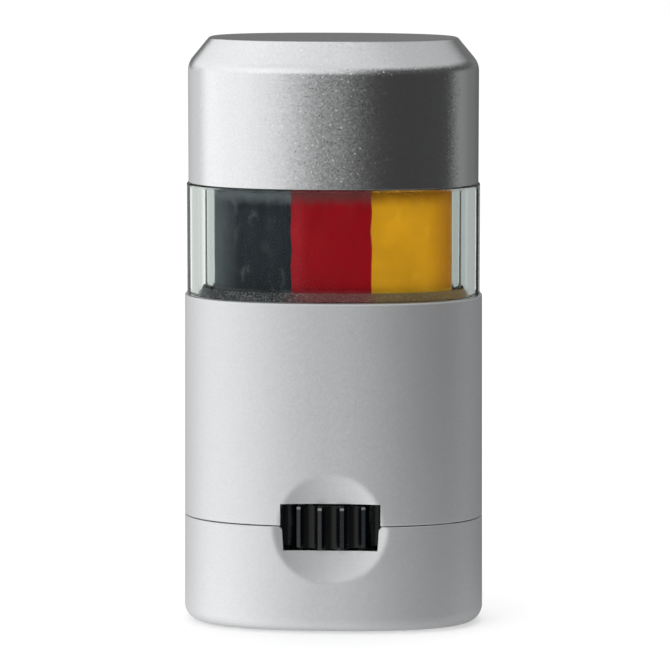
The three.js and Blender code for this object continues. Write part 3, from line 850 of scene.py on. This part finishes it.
def cast_paint(name, rgb, smear, smear_share, speck_share, rub_and_light_zone, bloom_and_shade, p):
    """Cast wax and pigment body paint: soft sheen, cloudy patches, smears where it dragged on the tube, fine
    specks, a zone across one end (a lighter smear on the red, painted light on the black's left end, painted
    shade on the yellow's right end), a smeared line at its foot, and a film at its top of bloom mixed with
    painted shade of the cap: paler over the black, darker over the red and the yellow."""
    material, tree, place = new_material(name)
    height = axis_of(tree, place, "Z")
    # Cloudy patches about 5 mm across, and dragged smears about 1 mm across.
    cloud = noise_of(tree, place, 5, 3.0)
    patch = remap(tree, cloud, 0.3, 0.7, 0.85, 1.12, clamp=False)
    toned = vector(tree, "SCALE", {0: rgb[:], "Scale": patch})
    drawn = add(tree, "ShaderNodeMapping", {"Vector": place, "Scale": (1.0, 1.0, 0.45)}).outputs[0]
    drag = noise_of(tree, drawn, 1, 5.0)
    smeared = mix(tree, remap(tree, drag, 0.58, 0.8, 0.0, smear_share), toned, hexed(smear))
    # A zone across the block: a lighter smear on the red; on the black's left end a painted light, and on the
    # yellow's right end a painted shade, as those ends face the bright and the dark side of the studio.
    start, end, rub_and_light_colour, share = rub_and_light_zone
    reach = remap(tree, axis_of(tree, place, "X"), start * MM, end * MM, 0.0, share, "SMOOTHSTEP")
    rub_and_light_mixed = mix(tree, reach, smeared, hexed(rub_and_light_colour))
    # Specks about 0.3 mm across, and the line of paint squeezed out where the block stands in its cup.
    speck = remap(tree, noise_of(tree, place, 0.3, 3.0), 0.66, 0.74, 0.0, speck_share)
    line_level = p.rim + p.collar_height - p.rim_round + 0.15
    apart = calc(tree, "ABSOLUTE", calc(tree, "SUBTRACT", height, line_level * MM))
    line = remap(tree, apart, 0.1 * MM, 0.25 * MM, 0.7, 0.0)
    pale = calc(tree, "MAXIMUM", speck, calc(tree, "MULTIPLY", line, cloud))
    marked = mix(tree, pale, rub_and_light_mixed, hexed(smear))
    # Wax bloom mixed with painted shade of the cap on the upper end: paler over the black, darker over the red
    # and the yellow. It fades out over 2 mm with an uneven edge.
    top = p.carrier_rim + p.paint_height
    raised = calc(tree, "ADD", height, remap(tree, drag, 0.3, 0.7, -0.25 * MM, 0.25 * MM))
    bloom_and_shade_film = remap(tree, raised, (top - 2.6) * MM, (top - 0.8) * MM, 0.0, 0.85, "SMOOTHSTEP")
    surface = {
        "Base Color": mix(tree, bloom_and_shade_film, marked, hexed(bloom_and_shade)),
        "Roughness": 0.55,
        "IOR": 1.45,
        "Specular IOR Level": 0.02,
        "Normal": bumped(tree, drag, 0.4, 0.05),
    }
    return principled(material, surface)


# Operators


def housing_piece(name, built, p):
    """A silver shell of the housing, in its lacquer and with the window's edges rounded."""
    points, faces, edges = built
    lacquer = silver_lacquer(f"silver_lacquer_{name.lower()}", p, 0.8, 0.5, 0.04, 0.05)
    node = f"{name.lower()}_shell"
    piece = make_piece(name, points, faces, lacquer, "housing", "silver_plastic", node)
    round_edges(piece, edges, p.window_edge)
    return piece


class PAINTSTICK_OT_base(bpy.types.Operator):
    """Build the silver base"""

    bl_idname = "paint_stick.base"
    bl_label = "Base"

    def execute(self, context):
        p = plan(context)
        housing_piece("Base", build_base(p), p)
        return {"FINISHED"}


class PAINTSTICK_OT_body(bpy.types.Operator):
    """Build the silver body"""

    bl_idname = "paint_stick.body"
    bl_label = "Body"

    def execute(self, context):
        p = plan(context)
        mesh = housing_piece("Body", build_body(p), p).data
        mesh.materials.append(shaded_collar_lacquer(p))
        collar = (p.rim + 0.05) * MM
        for face in mesh.polygons:
            face.material_index = int(face.center.z > collar)
        return {"FINISHED"}


class PAINTSTICK_OT_sleeve(bpy.types.Operator):
    """Build the clear sleeve"""

    bl_idname = "paint_stick.sleeve"
    bl_label = "Clear sleeve"

    def execute(self, context):
        p = plan(context)
        clear = clear_styrene(p)
        sleeve = make_piece("ClearSleeve", *build_sleeve(p), clear, "housing", "clear_plastic", "clear_sleeve")
        weigh_normals(sleeve)
        return {"FINISHED"}


class PAINTSTICK_OT_cap(bpy.types.Operator):
    """Build the silver cap"""

    bl_idname = "paint_stick.cap"
    bl_label = "Cap"

    def execute(self, context):
        p = plan(context)
        lacquer = silver_lacquer("silver_lacquer_cap", p, 1.0, 0.2, 0.04, 0.042, 0.12)
        weigh_normals(make_piece("Cap", *build_cap(p), lacquer, "cap", "silver_plastic", "cap_shell"))
        return {"FINISHED"}


class PAINTSTICK_OT_wheel(bpy.types.Operator):
    """Build the ribbed thumb wheel"""

    bl_idname = "paint_stick.wheel"
    bl_label = "Thumb wheel"

    def execute(self, context):
        p = plan(context)
        # Black ABS, moulded: near black in the flutes; grey on the ribs' crests, partly from wear and partly a
        # painted highlight, and paler on their tops, a painted highlight of the lamp overhead.
        wear_and_highlight = (p.wheel_radius - 0.02, p.wheel_top - p.rib_round - 0.1, "#2c3033", "#a0a4a6")
        black = moulded_plastic("black_abs_moulded", p.colours.wheel, 0.26, 1.3, 0.25, wear_and_highlight)
        wheel = make_piece("ThumbWheel", *build_wheel(p), black, "drive", "black_plastic", "thumb_wheel")
        weigh_normals(wheel)
        return {"FINISHED"}


class PAINTSTICK_OT_paint(bpy.types.Operator):
    """Build the three cast blocks of paint"""

    bl_idname = "paint_stick.paint"
    bl_label = "Paint"

    def execute(self, context):
        p = plan(context)
        for name, left, right, *marks in PAINTS:
            rgb = getattr(p.colours, f"{name}_paint")
            material = cast_paint(f"body_paint_cast_{name}", rgb, *marks, p)
            built = build_paint(left, right, p)
            make_piece(f"Paint{name.title()}", *built, material, "lift", f"{name}_paint", f"paint_{name}")
        return {"FINISHED"}


class PAINTSTICK_OT_inside(bpy.types.Operator):
    """Give the lead screw and the paint carrier their material"""

    bl_idname = "paint_stick.inside"
    bl_label = "Screw and carrier"

    def execute(self, context):
        # Natural polypropylene, moulded: milky white, with the dull gloss of a textured tool.
        rgb = plan(context).colours.white
        white = moulded_plastic("white_polypropylene_moulded", rgb, 0.5, 1.49, 0.4)
        for node in ("lead_screw", "paint_carrier"):
            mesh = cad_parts[node].data
            mesh.materials.clear()
            mesh.materials.append(white)
        return {"FINISHED"}


# Studio


# What is mirrored at the stick's level, a little above it and overhead: greys by azimuth in degrees, where 0
# is towards the camera and positive is to the right.
LOW_RING = {
    -180: 0.5, -100: 0.85, -72: 1.32, -36: 1.2, -20: 1.03, -8: 0.64, -3: 0.28,
    2: 0.12, 9: 0.05, 56: 0.06, 80: 0.3, 110: 0.22, 180: 0.12,
}
MIDDLE_RING = {-180: 0.8, -90: 1.2, -20: 1.35, -2: 1.0, 6: 0.25, 14: 0.08, 60: 0.08, 180: 0.2}
HIGH_RING = {-180: 1.0, -60: 1.22, -20: 1.05, 0: 0.88, 40: 0.64, 180: 0.5}

# What the clear sleeve sees through itself: far left, left, right and front, and what it lets in from all
# round to light the paint.
CLEAR_FAR_LEFT = (0.58, 0.62, 0.6, 1.0)
CLEAR_LEFT = (1.05, 1.1, 1.07, 1.0)
CLEAR_RIGHT = (0.4, 0.43, 0.42, 1.0)
CLEAR_FRONT = (0.18, 0.2, 0.2, 1.0)
CLEAR_LETS_IN = 2.2

# The studio's plain light, the grey behind, and how the camera sees the floor brighter than light does.
STUDIO_LIGHT = (0.75, 0.75, 0.76, 1.0)
BEHIND = 0.2
FLOOR_GLOW = 0.32
FLOOR_LIFT = 0.15

# Soft boxes: name, place in metres, size in metres and watts. All are aimed at the middle of the stick.
SOFT_BOXES = (
    ("soft_box_left", (-0.75, -0.45, 0.55), 1.2, 2.4),
    ("soft_box_top", (0.1, 0.1, 0.9), 0.6, 1.2),
)
STICK_MIDDLE = (0.0, 0.0, 0.035)

# The photograph's view: the camera's place and aim in metres, and its lens in millimetres.
CAMERA_PLACE = (0.0230, -0.5275, 0.1195)
CAMERA_AIM = (0.00019, 0.0, 0.03488)
CAMERA_LENS = 238.2


def studio_world(context):
    """Plain white studio. What polished faces mirror is graded as the studio's screens are: bright on the left
    and overhead, dark at the front right, and grey behind."""
    world = bpy.data.worlds.new("studio")
    context.scene.world = world
    world.use_nodes = True
    tree = world.node_tree
    tree.nodes.clear()
    direction = add(tree, "ShaderNodeTexCoord").outputs["Generated"]
    x, y, z = add(tree, "ShaderNodeSeparateXYZ", {"Vector": direction}).outputs
    azimuth = calc(tree, "ARCTAN2", x, calc(tree, "MULTIPLY", y, -1.0))
    turn = remap(tree, azimuth, -math.pi, math.pi)

    def ring(stops):
        ramp = add(tree, "ShaderNodeValToRGB", {"Fac": turn})
        ramp.color_ramp.interpolation = "EASE"
        marks = ramp.color_ramp.elements
        while len(marks) < len(stops):
            marks.new(0.5)
        for mark, degrees in zip(marks, stops):
            mark.position = degrees / 360 + 0.5
        for mark, level in zip(marks, stops.values()):
            mark.color = grey(level)
        return ramp.outputs["Color"]

    def grade(value, low, high):
        return remap(tree, value, low, high, kind="SMOOTHSTEP")

    lifted = mix(tree, grade(z, 0.1, 0.35), ring(LOW_RING), ring(MIDDLE_RING))
    raised = mix(tree, grade(z, 0.45, 0.8), lifted, ring(HIGH_RING))
    behind = calc(tree, "MULTIPLY", grade(y, 0.5, 0.85), grade(z, -0.03, 0.06))
    mirrored = mix(tree, behind, raised, grey(BEHIND))
    left = mix(tree, grade(x, -0.55, -0.2), CLEAR_FAR_LEFT, CLEAR_LEFT)
    backdrop = mix(tree, grade(x, -0.1, 0.1), left, CLEAR_RIGHT)
    through = mix(tree, grade(y, 0.1, 0.4), CLEAR_FRONT, backdrop)
    path = add(tree, "ShaderNodeLightPath").outputs
    lit = mix(tree, path["Is Glossy Ray"], STUDIO_LIGHT, mirrored)
    scattered = calc(tree, "GREATER_THAN", path["Diffuse Depth"], 0.5)
    inside = mix(tree, scattered, through, grey(CLEAR_LETS_IN))
    cleared = mix(tree, path["Is Transmission Ray"], lit, inside)
    shown = mix(tree, path["Is Camera Ray"], cleared, grey(1.0))
    background = add(tree, "ShaderNodeBackground", {"Color": shown})
    add(tree, "ShaderNodeOutputWorld", {"Surface": background.outputs[0]})


def hide_from(thing, *rays):
    """Hides an object from kinds of rays."""
    for ray in rays:
        setattr(thing, f"visible_{ray}", False)


def sheet(name, reach, place, material):
    """A flat square of the stage, which reaches that far to each side of its place, in metres."""
    mesh = bpy.data.meshes.new(name)
    corners = [(-reach, -reach, 0), (reach, -reach, 0), (reach, reach, 0), (-reach, reach, 0)]
    mesh.from_pydata(corners, [], [(0, 1, 2, 3)])
    mesh.materials.append(material)
    square = bpy.data.objects.new(name, mesh)
    bpy.context.scene.collection.objects.link(square)
    square.location = place
    return square


def studio_floor():
    """Pale seamless floor. It shows white to the camera and keeps the soft shadow of the stick."""
    material, tree, place = new_material("white_paper_floor")
    seen = add(tree, "ShaderNodeLightPath").outputs["Is Camera Ray"]
    # Paper fibres, 2 mm apart, which shade it by one part in seventy.
    shade = remap(tree, noise_of(tree, place, 2, 2.0), 0.0, 1.0, 0.68, 0.7)
    level = calc(tree, "ADD", shade, calc(tree, "MULTIPLY", seen, FLOOR_LIFT))
    paper = add(tree, "ShaderNodeBsdfDiffuse", {"Color": level}).outputs[0]
    glow = add(tree, "ShaderNodeEmission", {"Color": grey(FLOOR_GLOW), "Strength": seen}).outputs[0]
    surfaced(material, add(tree, "ShaderNodeAddShader", {0: paper, 1: glow}))
    hide_from(sheet("floor", 3.0, (0.0, 0.0, -0.05 * MM), material), "glossy", "transmission")


def reflected_card():
    """White card on the floor in front of the stick. Only what mirrors sees it: the lower a point of the
    housing is, the more of the card it shows."""
    material, tree, place = new_material("white_card_lit")
    away = vector(tree, "LENGTH", {0: place}, "Value")
    fade = remap(tree, away, 0.03, 0.085, 0.26, 0.0, "SMOOTHSTEP")
    glow = add(tree, "ShaderNodeEmission", {"Strength": fade}).outputs[0]
    clear = add(tree, "ShaderNodeBsdfTransparent").outputs[0]
    surfaced(material, add(tree, "ShaderNodeAddShader", {0: glow, 1: clear}))
    card = sheet("card", 0.1, (0.0, -0.045, -0.1 * MM), material)
    hide_from(card, "camera", "diffuse", "transmission", "shadow")


def soft_lamp(name, place, size, watts):
    """A square soft box aimed at the middle of the stick. It lights, but isn't mirrored."""
    lamp = bpy.data.lights.new(name, "AREA")
    lamp.shape = "SQUARE"
    lamp.size = size
    lamp.energy = watts
    holder = bpy.data.objects.new(name, lamp)
    bpy.context.scene.collection.objects.link(holder)
    holder.location = place
    hide_from(holder, "glossy", "transmission")
    aim_at(holder, STICK_MIDDLE)


def aim_at(thing, target):
    """Turns a lamp or a camera towards a point."""
    thing.rotation_euler = (Vector(target) - thing.location).to_track_quat("-Z", "Y").to_euler()


class PAINTSTICK_OT_stage(bpy.types.Operator):
    """Set up the studio: floor, lamps, world and camera"""

    bl_idname = "paint_stick.stage"
    bl_label = "Studio"

    def execute(self, context):
        studio_world(context)
        studio_floor()
        reflected_card()
        for box in SOFT_BOXES:
            soft_lamp(*box)
        camera = bpy.data.objects.new("camera", bpy.data.cameras.new("camera"))
        context.scene.collection.objects.link(camera)
        camera.location = CAMERA_PLACE
        aim_at(camera, CAMERA_AIM)
        camera.data.lens = CAMERA_LENS
        camera.data.sensor_width = 36.0
        camera.data.clip_start = 0.01
        context.scene.camera = camera
        context.scene.view_settings.view_transform = "Standard"
        return {"FINISHED"}


class PAINTSTICK_PT_panel(bpy.types.Panel):
    """Lists the stick's pieces, sizes and colours"""

    bl_idname = "PAINTSTICK_PT_panel"
    bl_label = "Push-up paint stick"
    bl_space_type = "VIEW_3D"
    bl_region_type = "UI"
    bl_category = "Paint stick"

    def draw(self, context):
        layout = self.layout
        for operator in OPERATORS:
            layout.operator(operator.bl_idname)
        for group in (context.scene.paint_stick_colours, context.scene.paint_stick_sizes):
            box = layout.box()
            for key in type(group).__annotations__:
                box.prop(group, key)


OPERATORS = (
    PAINTSTICK_OT_base,
    PAINTSTICK_OT_body,
    PAINTSTICK_OT_sleeve,
    PAINTSTICK_OT_cap,
    PAINTSTICK_OT_wheel,
    PAINTSTICK_OT_paint,
    PAINTSTICK_OT_inside,
    PAINTSTICK_OT_stage,
)
CLASSES = (PaintStickSizes, PaintStickColours, *OPERATORS, PAINTSTICK_PT_panel)


def register():
    """Registers the classes and their settings."""
    for each in CLASSES:
        bpy.utils.register_class(each)
    bpy.types.Scene.paint_stick_sizes = PointerProperty(type=PaintStickSizes)
    bpy.types.Scene.paint_stick_colours = PointerProperty(type=PaintStickColours)


def unregister():
    """Takes them out again."""
    del bpy.types.Scene.paint_stick_colours
    del bpy.types.Scene.paint_stick_sizes
    for each in reversed(CLASSES):
        bpy.utils.unregister_class(each)


def main():
    """Builds every piece and the stage."""
    register()
    bpy.ops.paint_stick.base()
    bpy.ops.paint_stick.body()
    bpy.ops.paint_stick.sleeve()
    bpy.ops.paint_stick.cap()
    bpy.ops.paint_stick.wheel()
    bpy.ops.paint_stick.paint()
    bpy.ops.paint_stick.inside()
    bpy.ops.paint_stick.stage()


if __name__ == "__main__":
    main()
